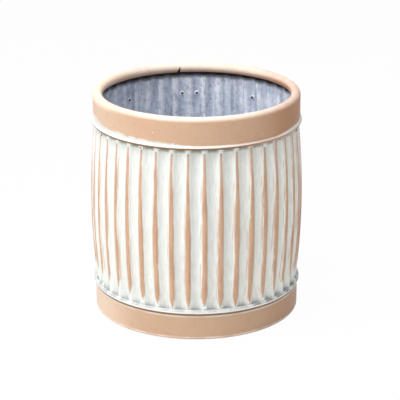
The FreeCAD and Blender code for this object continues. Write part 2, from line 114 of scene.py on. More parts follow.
@dataclass
class Shell:
    """Closed sheet between an outer and an inner grid of points."""

    outer: Array
    inner: Array

    def faces(self) -> tuple[Array, Array]:
        """Return the four-cornered faces and the layer of each.

        The outer grid's rows go up and its columns go round by growing azimuth, so each of its faces turns
        outwards. The inner grid has the same faces turned round, and four strips close the rims between them.

        Returns:
            The faces' point numbers, and a layer number for each face.
        """
        rows, columns = self.outer.shape[:2]
        number = np.arange(rows * columns).reshape(rows, columns)
        far = number + rows * columns

        def quads(grid: Array) -> Array:
            corners = (grid[:-1, :-1], grid[:-1, 1:], grid[1:, 1:], grid[1:, :-1])
            return np.stack(corners, axis=-1).reshape(-1, 4)

        def strip(near_edge: Array, far_edge: Array) -> Array:
            corners = (near_edge[:-1], far_edge[:-1], far_edge[1:], near_edge[1:])
            return np.stack(corners, axis=-1)

        outside = quads(number)
        inside = quads(far)[:, ::-1]
        rims = np.concatenate((
            strip(number[0], far[0]),
            strip(far[-1], number[-1]),
            strip(far[:, 0], number[:, 0]),
            strip(number[:, -1], far[:, -1]),
        ))
        layers = np.full(len(outside) + len(inside) + len(rims), Layer.INSIDE.value)
        layers[:len(outside)] = Layer.OUTSIDE.value
        return np.concatenate((outside, inside, rims)), layers


class Dressed:
    """Sheet metal with one finish outside and another inside."""

    @staticmethod
    def dress(piece: bpy.types.Object, outside: bpy.types.Material, inside: bpy.types.Material) -> None:
        """Give a piece its two finishes, in the order of Layer."""
        piece.data.materials.append(outside)
        piece.data.materials.append(inside)


def piece_from(name: str, shells: list[Shell]) -> bpy.types.Object:
    """Make one mesh piece of several closed sheets.

    Args:
        name: Name of the piece.
        shells: Sheets that the piece is made of.

    Returns:
        The new object, at the origin, smooth but for its sharp edges.
    """
    points: list[Array] = []
    faces: list[Array] = []
    layers: list[Array] = []
    start = 0
    for shell in shells:
        both = np.concatenate((shell.outer.reshape(-1, 3), shell.inner.reshape(-1, 3)))
        corners, layer = shell.faces()
        points.append(both * METRE)
        faces.append(corners + start)
        layers.append(layer)
        start += len(both)
    mesh = bpy.data.meshes.new(name)
    mesh.from_pydata(np.concatenate(points), [], np.concatenate(faces).tolist())
    mesh.polygons.foreach_set("material_index", np.concatenate(layers).astype(np.int32))
    mesh.polygons.foreach_set("use_smooth", np.ones(len(mesh.polygons), dtype=bool))
    mesh.update()
    mesh.validate()
    mesh.set_sharp_from_angle(angle=SHARP)
    made = bpy.data.objects.new(name, mesh)
    bpy.context.scene.collection.objects.link(made)
    return made


class Wiring:
    """Places shader nodes in one tree and joins them."""

    def __init__(self, tree: bpy.types.NodeTree) -> None:
        """Keep the tree that nodes go into."""
        self.tree = tree

    def node(self, kind: str, **settings: object) -> bpy.types.Node:
        """Return a new node with some settings."""
        made = self.tree.nodes.new(kind)
        for key, value in settings.items():
            setattr(made, key, value)
        return made

    def feed(self, socket: Socket, value: Value | tuple[float, ...]) -> None:
        """Join a socket to an output, or set its own value."""
        if isinstance(value, bpy.types.NodeSocket):
            self.tree.links.new(value, socket)
        else:
            socket.default_value = value

    def math(self, operation: str, first: Value, second: Value = 0.0, clamp: bool = False) -> Socket:
        """Return the result of a sum on one or two values."""
        made = self.node("ShaderNodeMath", operation=operation, use_clamp=clamp)
        self.feed(made.inputs[0], first)
        self.feed(made.inputs[1], second)
        return made.outputs[0]

    def product(self, *factors: Value) -> Socket:
        """Return several values multiplied together."""
        return reduce(partial(self.math, "MULTIPLY"), factors)

    def total(self, *parts: Value) -> Socket:
        """Return several values added up."""
        return reduce(partial(self.math, "ADD"), parts)

    def minus(self, first: Value, second: Value) -> Socket:
        """Return the first value less the second."""
        return self.math("SUBTRACT", first, second)

    def size(self, value: Value) -> Socket:
        """Return a value without its sign."""
        return self.math("ABSOLUTE", value)

    def blend(self, value: Value, span: Span, start: Value = 0.0, finish: Value = 1.0) -> Socket:
        """Return a smooth step between two results.

        Args:
            value: What is measured.
            span: Where the step begins and where it ends.
            start: Result up to the span.
            finish: Result beyond it.

        Returns:
            The stepped result.
        """
        made = self.node("ShaderNodeMapRange", interpolation_type="SMOOTHSTEP", clamp=True)
        sockets = ("Value", "From Min", "From Max", "To Min", "To Max")
        for name, part in zip(sockets, (value, *span, start, finish)):
            self.feed(made.inputs[name], part)
        return made.outputs["Result"]

    def step(self, value: Value, edge: float, soft: float, start: Value = 0.0, finish: Value = 1.0) -> Socket:
        """Return a blend from soft below an edge to soft above it."""
        return self.blend(value, (edge - soft, edge + soft), start, finish)

    def noise(self, vector: Socket, scale: float, detail: float = 2.0, roughness: float = 0.5) -> Socket:
        """Return cloudy noise about 0.5 at a scale per unit of its vector."""
        made = self.node("ShaderNodeTexNoise")
        self.feed(made.inputs["Vector"], vector)
        made.inputs["Scale"].default_value = scale
        made.inputs["Detail"].default_value = detail
        made.inputs["Roughness"].default_value = roughness
        return made.outputs["Fac"]

    def upright(self, vector: Socket, climb: float) -> Socket:
        """Return a vector with its height multiplied, so that patterns on it run upright."""
        made = self.node("ShaderNodeMapping")
        self.feed(made.inputs["Vector"], vector)
        made.inputs["Scale"].default_value = (1.0, 1.0, climb)
        return made.outputs["Vector"]

    def vector(self, first: Value, second: Value, third: Value) -> Socket:
        """Return a vector put together from three parts."""
        made = self.node("ShaderNodeCombineXYZ")
        for socket, part in zip(made.inputs, (first, second, third)):
            self.feed(socket, part)
        return made.outputs[0]

    def parts(self, vector: Socket) -> tuple[Socket, ...]:
        """Return the three parts of a vector."""
        made = self.node("ShaderNodeSeparateXYZ")
        self.feed(made.inputs[0], vector)
        return tuple(made.outputs)

    def point(self) -> Socket:
        """Return the point on the piece in millimetres."""
        scaled = self.node("ShaderNodeVectorMath", operation="SCALE")
        self.feed(scaled.inputs[0], self.node("ShaderNodeTexCoord").outputs["Object"])
        scaled.inputs["Scale"].default_value = 1.0 / METRE
        return scaled.outputs[0]

    def mix(self, share: Value, first: Socket | Colour, second: Socket | Colour) -> Socket:
        """Return a colour between two others."""
        made = self.node("ShaderNodeMix", data_type="RGBA")
        self.feed(made.inputs[0], share)
        self.feed(made.inputs[6], first)
        self.feed(made.inputs[7], second)
        return made.outputs[2]

    def layered(self, ground: Socket | Colour, *coats: tuple[Value, Socket | Colour]) -> Socket:
        """Return a colour under coats, each with its share and its colour, the last one on top."""
        for share, colour in coats:
            ground = self.mix(share, ground, colour)
        return ground

    def group(self, tree: bpy.types.NodeTree, **inputs: Value) -> bpy.types.Node:
        """Return a shared effect placed in this tree with its own values."""
        made = self.node("ShaderNodeGroup", node_tree=tree)
        for name, value in inputs.items():
            self.feed(made.inputs[name], value)
        return made


@dataclass(frozen=True)
class SharedEffects:
    """Effects that several finishes use."""

    mottle: bpy.types.NodeTree
    ragged: bpy.types.NodeTree
    rib_finder: bpy.types.NodeTree

    @staticmethod
    def opened(
            name: str, values: tuple[str, ...],
            results: tuple[str, ...]) -> tuple[Wiring, dict[str, Socket], bpy.types.Node]:
        """Start a node group that takes a place and some values.

        Args:
            name: Name of the group.
            values: Names of its value inputs, beside Vector.
            results: Names of its value outputs.

        Returns:
            The wiring of the group, its inputs by name and its output node.
        """
        tree = bpy.data.node_groups.new(name, "ShaderNodeTree")
        tree.interface.new_socket("Vector", in_out="INPUT", socket_type="NodeSocketVector")
        for key in values:
            tree.interface.new_socket(key, in_out="INPUT", socket_type="NodeSocketFloat")
        for key in results:
            tree.interface.new_socket(key, in_out="OUTPUT", socket_type="NodeSocketFloat")
        wires = Wiring(tree)
        source = wires.node("NodeGroupInput")
        inlet = {key: source.outputs[key] for key in ("Vector", *values)}
        return wires, inlet, wires.node("NodeGroupOutput")

    @classmethod
    def mottled(cls) -> bpy.types.NodeTree:
        """Return cloud about 0.5: broad and fine cloud in equal parts, with a share of upright streaks."""
        wires, inlet, outlet = cls.opened("mottle", ("Streaks", "Contrast"), ("Value",))
        broad = wires.noise(inlet["Vector"], scale=0.022, detail=3.0, roughness=0.6)
        fine = wires.noise(inlet["Vector"], scale=0.16, detail=3.0, roughness=0.6)
        runs = wires.noise(wires.upright(inlet["Vector"], climb=0.06), scale=0.3)
        streaked = wires.node("ShaderNodeMix", data_type="FLOAT")
        wires.feed(streaked.inputs[0], inlet["Streaks"])
        wires.feed(streaked.inputs[2], wires.product(wires.total(broad, fine), 0.5))
        wires.feed(streaked.inputs[3], runs)
        lift = wires.product(wires.minus(streaked.outputs[0], 0.5), inlet["Contrast"])
        wires.feed(outlet.inputs["Value"], wires.math("ADD", lift, 0.5, clamp=True))
        return wires.tree

    @classmethod
    def ragged_edge(cls) -> bpy.types.NodeTree:
        """Return a step across an edge whose signed distance is shaken by coarse and fine noise."""
        wires, inlet, outlet = cls.opened("ragged", ("Distance", "Coarse", "Fine", "Softness"), ("Mask",))
        coarse = wires.minus(wires.noise(inlet["Vector"], scale=0.09), 0.5)
        fine = wires.minus(wires.noise(inlet["Vector"], scale=0.55), 0.5)
        shaken = wires.total(
            inlet["Distance"], wires.product(coarse, inlet["Coarse"]), wires.product(fine, inlet["Fine"]))
        soft = inlet["Softness"]
        wires.feed(outlet.inputs["Mask"], wires.blend(shaken, (wires.product(soft, -1.0), soft)))
        return wires.tree

    @classmethod
    def found_ribs(cls, ribs: "Ribs") -> bpy.types.NodeTree:
        """Return a point's rib, its distance across that rib and its radius.

        The point's azimuth is divided by the ribs' step. The nearest whole number is its rib, and what is
        left over, carried out to its radius, is its distance across.

        Args:
            ribs: Corrugation of the wall.

        Returns:
            The node group.
        """
        wires, inlet, outlet = cls.opened("rib_finder", (), ("Rib", "Across", "Radius"))
        sideways, forward, _ = wires.parts(inlet["Vector"])
        squares = (wires.product(sideways, sideways), wires.product(forward, forward))
        radius = wires.math("SQRT", wires.total(*squares))
        turn = wires.math("ARCTAN2", sideways, wires.product(forward, -1.0))
        step = math.tau / ribs.count
        place = wires.math("DIVIDE", wires.minus(turn, math.radians(ribs.first_azimuth)), step)
        rib = wires.math("ROUND", place)
        wires.feed(outlet.inputs["Rib"], wires.math("FLOORED_MODULO", rib, float(ribs.count)))
        wires.feed(outlet.inputs["Across"], wires.product(wires.minus(place, rib), step, radius))
        wires.feed(outlet.inputs["Radius"], radius)
        return wires.tree

    @classmethod
    def built(cls, ribs: "Ribs") -> "SharedEffects":
        """Build each effect once."""
        return cls(cls.mottled(), cls.ragged_edge(), cls.found_ribs(ribs))


class Surface(Wiring):
    """Wiring of one material, with the place that is shaded.

    The place is spot in millimetres, with its parts sideways, forward and height, and the rib, across and
    radius that the rib finder gives. In aside and off_crest the signs of sideways and across are left out.
    """

    def __init__(self, name: str, effects: SharedEffects) -> None:
        """Start a material and work out the place."""
        self.material = bpy.data.materials.new(name)
        self.material.use_nodes = True
        super().__init__(self.material.node_tree)
        self.effects = effects
        self.shader = self.tree.nodes["Principled BSDF"]
        self.spot = self.point()
        self.sideways, self.forward, self.height = self.parts(self.spot)
        self.rib, self.across, self.radius = self.group(effects.rib_finder, Vector=self.spot).outputs
        self.aside = self.size(self.sideways)
        self.off_crest = self.size(self.across)

    def clouds(self, streaks: float, contrast: float) -> Socket:
        """Return mottled cloud about 0.5."""
        made = self.group(self.effects.mottle, Vector=self.spot, Streaks=streaks, Contrast=contrast)
        return made.outputs["Value"]

    def edge(
            self, distance: Socket, coarse: Value, fine: Value, softness: float, climb: float = 1.0) -> Socket:
        """Return 1 where a distance is positive and 0 beyond, with a ragged edge.

        Args:
            distance: Signed distance from the edge, in millimetres.
            coarse: How far coarse noise shakes the edge.
            fine: How far fine noise shakes it.
            softness: Half the width of the step.
            climb: Factor on the height that the noise is read at.

        Returns:
            The mask.
        """
        made = self.group(
            self.effects.ragged, Vector=self.upright(self.spot, climb), Distance=distance, Coarse=coarse,
            Fine=fine, Softness=softness)
        return made.outputs["Mask"]

    def grain(self, climb: float, scale: float, detail: float = 2.0, roughness: float = 0.5) -> Socket:
        """Return noise at the place, drawn out upright by a factor on its height."""
        return self.noise(self.upright(self.spot, climb), scale, detail, roughness)

    def coat(self, colour: Socket, roughness: Socket) -> None:
        """Give the shader its colour and its roughness."""
        self.feed(self.shader.inputs["Base Color"], colour)
        self.feed(self.shader.inputs["Roughness"], roughness)

    def relief(self, height: Socket, depth: float, strength: float) -> None:
        """Give the shader fine relief, with its depth in metres."""
        bump = self.node("ShaderNodeBump")
        bump.inputs["Distance"].default_value = depth
        bump.inputs["Strength"].default_value = strength
        self.feed(bump.inputs["Height"], height)
        self.feed(self.shader.inputs["Normal"], bump.outputs["Normal"])


@dataclass(frozen=True)
class Finish:
    """Colours and sizes of one material, and the effects that it uses."""

    effects: SharedEffects


@dataclass(frozen=True)
class WornWallPaint(Finish):
    """Cream paint on the wall, rubbed through to terracotta on the rib crests."""

    cream: Colour = tint(241, 244, 239)
    pale_tone: Colour = tint(249, 250, 246)
    bright: Colour = tint(255, 255, 249)
    grime_and_shade: Colour = tint(216, 221, 212)
    terracotta: Colour = tint(219, 179, 148)
    worn_dark_and_shade: Colour = tint(199, 156, 127)
    pinkish: Colour = tint(219, 187, 168)
    thin_top: Colour = tint(206, 171, 156)
    worn_grey: Colour = tint(148, 138, 133)
    bare: Colour = tint(158, 168, 187)
    thin_cream: Colour = tint(206, 213, 228)
    under_bead: Colour = tint(146, 136, 100)
    rub_half_width: float = 4.6
    rub_top: float = 332.0
    rub_bottom: float = 46.5
    top_chance: float = 14.0
    bottom_chance: float = 16.0
    edge_inset: float = 0.3
    halfway: Span = (130.0, 230.0)
    thin_upper: Span = (270.0, 335.0)
    bead_shadow: Span = (335.0, 342.0)
    gap_level: float = 57.6
    rib_apart: float = 37.0
    side_apart: float = 9.0
    roughness: float = 0.5
    sheen: float = 0.35

    @staticmethod
    def drift(
            on: Surface, cell: Socket, row: float, climb: float, detail: float,
            roughness: float = 0.5) -> Socket:
        """Return noise that differs from cell to cell and changes with the height.

        Args:
            on: Surface that is shaded.
            cell: Number of the cell.
            row: Keeps several kinds of noise apart.
            climb: Change with each millimetre of height, 0 for one value to a cell.
            detail: Detail of the noise.
            roughness: Roughness of the noise.

        Returns:
            The noise, about 0.5.
        """
        return on.noise(on.vector(cell, row, on.product(on.height, climb)), 1.0, detail, roughness)

    def strip(self, on: Surface, rib_cell: Socket, edge_cell: Socket) -> tuple[Socket, Socket]:
        """Return the half width of the rubbed strip, and how far a point lies below the strip's top.

        The strip's ends differ by chance from rib to rib. Its top stands higher on the right. Its bottom is
        higher at both sides, and from left of the middle on it is lower on all ribs but the front one. The
        half width is a product: it grows from the top down, closes to a point at both ends, wavers along
        each edge, and is narrower low on the left and wider high on the right.

        Args:
            on: Surface that is shaded.
            rib_cell: Cell number of the rib.
            edge_cell: Cell number of the strip's edge.

        Returns:
            The half width and the distance below the top.
        """
        top = on.total(
            self.rub_top,
            on.product(self.drift(on, rib_cell, 0.0, 0.0, 0.0), self.top_chance),
            on.blend(on.sideways, (50.0, 120.0), 0.0, 9.0))
        bottom = on.total(
            self.rub_bottom,
            on.product(self.drift(on, rib_cell, 50.0, 0.0, 0.0), self.bottom_chance),
            on.blend(on.aside, (70.0, 180.0), 0.0, 14.0),
            on.product(on.blend(on.sideways, (-65.0, -35.0), 0.0, -6.0), on.blend(on.rib, (0.2, 0.8))))
        below_top = on.minus(top, on.height)
        low_on_left = on.blend(on.sideways, (-150.0, -100.0), 0.92, 1.0)
        high_on_right = on.blend(on.sideways, (60.0, 110.0), 1.0, 1.12)
        width = on.product(
            self.rub_half_width,
            on.blend(below_top, (0.0, 150.0), 0.48, 1.0),
            on.blend(below_top, (-2.0, 5.0)),
            on.blend(on.minus(on.height, bottom), (0.0, 30.0)),
            on.blend(on.height, (80.0, 200.0), 1.08, 1.0),
            on.blend(on.height, self.halfway, low_on_left, 1.0),
            on.blend(on.height, self.halfway, 1.0, high_on_right),
            on.blend(self.drift(on, edge_cell, 0.0, 0.009, 1.0), (0.25, 0.75), 0.72, 1.28),
            on.blend(on.sideways, (130.0, 170.0), 1.0, 0.95))
        return width, below_top

    def material(self) -> bpy.types.Material:
        """Return the finish.

        Ragged strips of terracotta lie along the crests. Beside them the cream is thin, in streaks at both
        edges and in a broken line on the left. Painted shade lies under the rim bead and on each strip's right
        flank, and the gap over the foot is bluish grey, thin paint and bare zinc with painted shade. Greyer
        streaks in the valleys are soiling and painted shade, and the cream is painted lighter on the right.

        Returns:
            The material.
        """
        on = Surface("worn_wall_paint", self.effects)
        rib_cell = on.product(on.rib, self.rib_apart)
        edge_cell = on.total(rib_cell, on.product(on.math("SIGN", on.across), self.side_apart))
        width, below_top = self.strip(on, rib_cell, edge_cell)
        inside = on.minus(on.minus(width, on.off_crest), self.edge_inset)
        flecks = on.product(
            on.blend(on.grain(0.05, 0.8), (0.58, 0.66)),
            on.blend(inside, (0.4, 2.4), 1.0, 0.0))
        rubbed = on.product(
            on.edge(inside, coarse=0.9, fine=1.4, softness=0.45, climb=0.07),
            on.blend(flecks, WHOLE, 1.0, 0.35))

        streak_cell = on.total(edge_cell, on.product(on.across, 0.42))
        streaks = on.product(
            on.blend(inside, (-3.4, -1.0)),
            on.blend(width, (1.0, 3.0)),
            on.blend(self.drift(on, streak_cell, 0.0, 0.012, 3.0, 0.6), (0.47, 0.57)))
        broken_line = on.product(
            on.blend(inside, (-3.6, -2.8)),
            on.blend(inside, (-2.4, -1.8), 1.0, 0.0),
            on.blend(self.drift(on, rib_cell, 20.0, 0.014, 2.0), (0.47, 0.55)),
            on.blend(on.across, (-1.0, 0.0), 1.0, 0.0),
            on.blend(width, (1.5, 3.0)))
        thinned = on.math("MAXIMUM", streaks, broken_line)

        runs = on.grain(0.04, 0.62, 3.0, 0.6)
        # Greyer streaks, strongest in the valleys: partly soiling, partly painted shade in the hollows.
        hollow = on.product(on.blend(on.off_crest, (3.0, 9.0), 0.1, 0.5), on.blend(runs, (0.4, 0.6)))
        paint = on.layered(
            on.mix(on.clouds(0.55, 2.2), self.cream, self.pale_tone),
            # Painted light: the cream is made brighter towards the right side.
            (on.blend(on.sideways, (40.0, 110.0)), self.bright),
            (hollow, self.grime_and_shade),
            (on.product(thinned, 0.8), self.pinkish))
        ground = on.layered(
            on.mix(on.blend(on.clouds(0.6, 2.6), (0.3, 0.9)), self.terracotta, self.worn_dark_and_shade),
            # Painted shade: the terracotta darkens towards the right flank of each strip.
            (on.blend(on.across, (0.5, 4.0), 0.0, 0.45), self.worn_dark_and_shade),
            (on.blend(on.height, self.thin_upper, 0.0, 0.6), self.thin_top),
            (on.blend(below_top, (1.0, 7.0), 0.55, 0.0), self.worn_grey))
        shadow = on.product(on.blend(on.height, self.bead_shadow), on.blend(on.off_crest, (1.5, 9.0)), 0.8)
        # Bluish grey in the gap over the foot bead, darker and bluer towards the sides: thin paint and bare
        # zinc, and painted shade.
        far = on.blend(on.aside, (100.0, 175.0))
        gap = on.product(
            on.edge(on.minus(self.gap_level, on.height), coarse=9.0, fine=4.0, softness=2.6),
            on.blend(far, WHOLE, 0.1, 0.25),
            on.blend(on.off_crest, (4.2, 6.4)))
        colour = on.layered(
            paint,
            (rubbed, ground),
            (shadow, self.under_bead),
            (gap, on.mix(far, self.thin_cream, self.bare)))
        on.coat(colour, on.blend(rubbed, WHOLE, self.roughness, self.roughness - 0.06))
        on.shader.inputs["Specular IOR Level"].default_value = self.sheen
        grain = on.grain(0.12, 0.7, 3.0)
        raised = on.minus(on.product(grain, 0.5), on.product(rubbed, 0.6))
        on.relief(raised, depth=0.0004, strength=0.35)
        return on.material


@dataclass(frozen=True)
class DullZinc(Finish):
    """Bare zinc sheet, blotched, with painted highlights and shade on its ribs and a painted shadow under the
    roll.
    """

    light: Colour = tint(250, 252, 255)
    middle: Colour = tint(240, 246, 255)
    dark: Colour = tint(192, 200, 218)
    stain_and_shade: Colour = tint(146, 154, 172)
    grime_and_shade: Colour = tint(62, 62, 72)
    roll_shadow_from: float = 372.4
    groove_shade_offset: float = 1.2
    roughness: float = 0.55

    def material(self) -> bpy.types.Material:
        """Return the finish: two tones of cloud under painted shade in the grooves, painted highlights on the
        ridges, pale runs, stains and the painted shadow under the roll.
        """
        on = Surface("dull_zinc", self.effects)
        clouds = on.clouds(0.15, 4.4)
        # Painted shade in the grooves, a little to one side, and painted highlights along the ridges of the
        # inside.
        groove_shade = on.blend(on.size(on.total(on.across, self.groove_shade_offset)), (4.5, 9.5), 0.5, 0.0)
        ridge_highlight = on.blend(on.off_crest, (8.5, 11.5), 0.0, 0.7)
        runs = on.grain(0.05, 0.16, 3.0, 0.6)
        stains = on.grain(0.12, 0.07, 4.0, 0.65)
        blotches = on.grain(0.6, 0.12, 4.0, 0.7)
        # Painted shadow under the rim's roll, near black, along the top of the sheet.
        roll_shadow = on.edge(on.minus(on.height, self.roll_shadow_from), coarse=5.0, fine=2.0, softness=3.6)
        colour = on.layered(
            on.mix(clouds, self.dark, self.middle),
            (on.product(groove_shade, on.blend(clouds, (0.2, 0.8), 1.0, 0.4)), self.dark),
            (on.product(ridge_highlight, on.blend(clouds, (0.1, 0.7))), self.light),
            (on.blend(runs, (0.54, 0.7), 0.0, 0.75), self.light),
            (on.blend(stains, (0.52, 0.68), 0.0, 0.8), self.stain_and_shade),
            (on.blend(blotches, (0.5, 0.66), 0.0, 0.5), self.stain_and_shade),
            # Painted shade: the inside is darker towards its left side.
            (on.blend(on.sideways, (-150.0, -70.0), 0.2, 0.0), self.stain_and_shade),
            (on.product(roll_shadow, 0.85), self.grime_and_shade))
        on.coat(colour, on.blend(clouds, WHOLE, self.roughness + 0.1, self.roughness - 0.08))
        on.relief(clouds, depth=0.0004, strength=0.3)
        return on.material


@dataclass(frozen=True)
class BandPaint(Finish):
    """Terracotta paint of the bands, and the cream that is brushed over their beads."""

    terracotta: Colour = tint(213, 174, 144)
    pale: Colour = tint(221, 184, 154)
    shade: Colour = tint(203, 160, 129)
    painted_sheen: Colour = tint(230, 203, 178)
    painted_shade_deep: Colour = tint(196, 146, 113)
    cream: Colour = tint(246, 246, 240)
    bead_underside_shade: Colour = tint(142, 106, 76)
    ear: Colour = tint(240, 243, 238)
    painted_sheen_share: float = 0.6
    painted_sheen_side: Span = (-180.0, -90.0)
    painted_shade_share: float = 0.8
    painted_shade_side: Span = (88.0, 180.0)
    ear_soft: float = 0.2
    band_radius: float = 182.5
    roughness: float = 0.45
    sheen: float = 0.25

    def ground(self, on: Surface) -> Socket:
        """Return the terracotta, clouded and dusted, with painted sheen on its left and painted shade on its
        right.
        """
        dust = on.noise(on.spot, 0.05, 4.0, 0.7)
        return on.layered(
            on.mix(on.clouds(0.1, 2.6), self.terracotta, self.pale),
            # Painted sheen on the left side, painted shade on the right side.
            (on.blend(on.sideways, self.painted_sheen_side, self.painted_sheen_share, 0.0), self.painted_sheen),
            (on.blend(on.sideways, self.painted_shade_side, 0.0, self.painted_shade_share), self.painted_shade_deep),
            (on.blend(dust, (0.55, 0.75), 0.0, 0.5), self.shade))

    def nick(self, on: Surface, azimuth: float, level: float, size: float) -> Socket:
        """Return the share of bare metal within a small round nick in the band's outer face.

        Args:
            on: Surface that is shaded.
            azimuth: Where the nick lies round the band.
            level: Height of the nick.
            size: Radius of the nick.

        Returns:
            The mask.
        """
        centre = round_axis(np.array(azimuth), np.array(self.band_radius), np.array(level))
        away = on.node("ShaderNodeVectorMath", operation="DISTANCE")
        on.feed(away.inputs[0], on.spot)
        away.inputs[1].default_value = tuple(float(part) for part in centre)
        return on.blend(away.outputs["Value"], (size * 0.6, size), 0.85, 0.0)

    @staticmethod
    def between(on: Surface, low: float, high: float, soft: float = 0.35) -> Socket:
        """Return 1 between two heights, with soft edges."""
        return on.product(on.step(on.height, low, soft), on.step(on.height, high, soft, 1.0, 0.0))

    def finished(self, on: Surface, colour: Socket, layer: Socket) -> None:
        """Set the shader's colour, sheen and fine relief.

        Args:
            on: Surface that is shaded.
            colour: Colour of the paint.
            layer: Where cream paint lies on the terracotta.
        """
        fine = on.noise(on.spot, 0.35, 4.0, 0.6)
        roughness = on.blend(fine, (0.3, 0.7), self.roughness + 0.06, self.roughness - 0.05)
        on.coat(colour, roughness)
        on.shader.inputs["Specular IOR Level"].default_value = self.sheen
        on.relief(on.total(fine, on.product(layer, 0.6)), depth=0.0003, strength=0.25)


@dataclass(frozen=True)
class RimPaint(BandPaint):
    """Paint of the rim band, with a painted highlight on top of the roll and cream brushed at the bead."""

    painted_shade_deep: Colour = tint(185, 123, 80)
    roll_highlight: Colour = tint(250, 234, 223)
    painted_roll_light: Colour = tint(255, 226, 202)
    thin_cream: Colour = tint(228, 230, 224)
    bead_pink: Colour = tint(206, 158, 136)
    bare_edge: Colour = tint(240, 218, 202)
    nicks: tuple[tuple[float, float, float], ...] = (
        (-23.75, 371.0, 1.6),
        (-64.0, 378.0, 1.1),
        (38.0, 362.0, 1.2),
        (121.0, 374.0, 1.5),
        (-152.0, 366.0, 1.3),
    )
    cream_top: float = 351.5
    cream_bottom: float = 348.2
    cream_share: float = 0.94
    brushed_side: Span = (-20.0, 8.0)
    ear_top: float = 344.6
    highlight_rise: Span = (391.5, 398.6)
    highlight_behind: float = 0.8
    highlight_drop: float = 6.0
    roll_rise: Span = (386.0, 392.0)

    def pale_tone(self, on: Surface) -> Socket:
        """Return the painted highlight on the roll, thinner at the sides and behind, where it reaches lower.
        """
        lifted = on.total(on.height, on.blend(on.forward, (40.0, 165.0), 0.0, self.highlight_drop))
        return on.product(
            on.blend(lifted, self.highlight_rise),
            on.blend(on.noise(on.spot, 0.06, 3.0), (0.3, 0.6), 0.7, 0.95),
            on.blend(on.forward, (-178.0, -60.0), 1.0, self.highlight_behind),
            on.blend(on.sideways, (10.0, 150.0), 1.0, 0.7),
            on.blend(on.sideways, (-180.0, -40.0), 0.55, 1.0))

    def brushed(self, on: Surface) -> Socket:
        """Return where cream lies over the bead, high at the far left and a neat line on the right."""
        top = on.total(
            self.cream_top,
            on.blend(on.sideways, (-60.0, 8.0), 4.2, 0.2),
            on.blend(on.sideways, (-130.0, -70.0), 2.0, 0.0),
            on.blend(on.sideways, (-177.0, -158.0), 7.0, 0.0),
            on.blend(on.sideways, (30.0, 90.0), 0.0, -0.8),
            on.blend(on.sideways, (130.0, 172.0), 0.0, 3.5))
        coarse = on.blend(on.sideways, self.brushed_side, 9.0, 0.6)
        fine = on.blend(on.sideways, self.brushed_side, 4.4, 0.4)
        return on.edge(on.minus(top, on.height), coarse, fine, softness=1.0)

    def material(self) -> bpy.types.Material:
        """Return the finish: painted light on the roll, cream over the bead, brown painted shade on its
        underside.
        """
        on = Surface("rim_paint", self.effects)
        # Painted light: the roll is paler and warmer at its far left.
        painted_roll_light = on.product(
            on.blend(on.height, self.roll_rise), on.blend(on.sideways, (-178.0, -120.0), 0.8, 0.0))
        paint = on.layered(
            self.ground(on),
            # Painted highlight along the top of the roll.
            (self.pale_tone(on), self.roll_highlight),
            (painted_roll_light, self.painted_roll_light),
            *((self.nick(on, *nick), self.bare_edge) for nick in self.nicks))
        layer = self.brushed(on)
        over_bead = on.blend(on.height, (self.cream_top - 0.6, self.cream_top + 0.9))
        # The bead's underside is left without cream and painted brown as its shade, pinker towards the right.
        lower_edge = on.blend(on.sideways, (20.0, 120.0), self.cream_bottom, self.cream_bottom + 0.9)
        under = on.edge(on.minus(lower_edge, on.height), coarse=0.8, fine=0.5, softness=0.5)
        colour = on.layered(
            paint,
            (on.product(layer, self.cream_share), on.mix(over_bead, self.cream, self.thin_cream)),
            (under, on.mix(on.blend(on.sideways, (40.0, 140.0)), self.bead_underside_shade, self.bead_pink)),
            (on.step(on.height, self.ear_top, self.ear_soft, 1.0, 0.0), self.ear))
        self.finished(on, colour, layer)
        return on.material


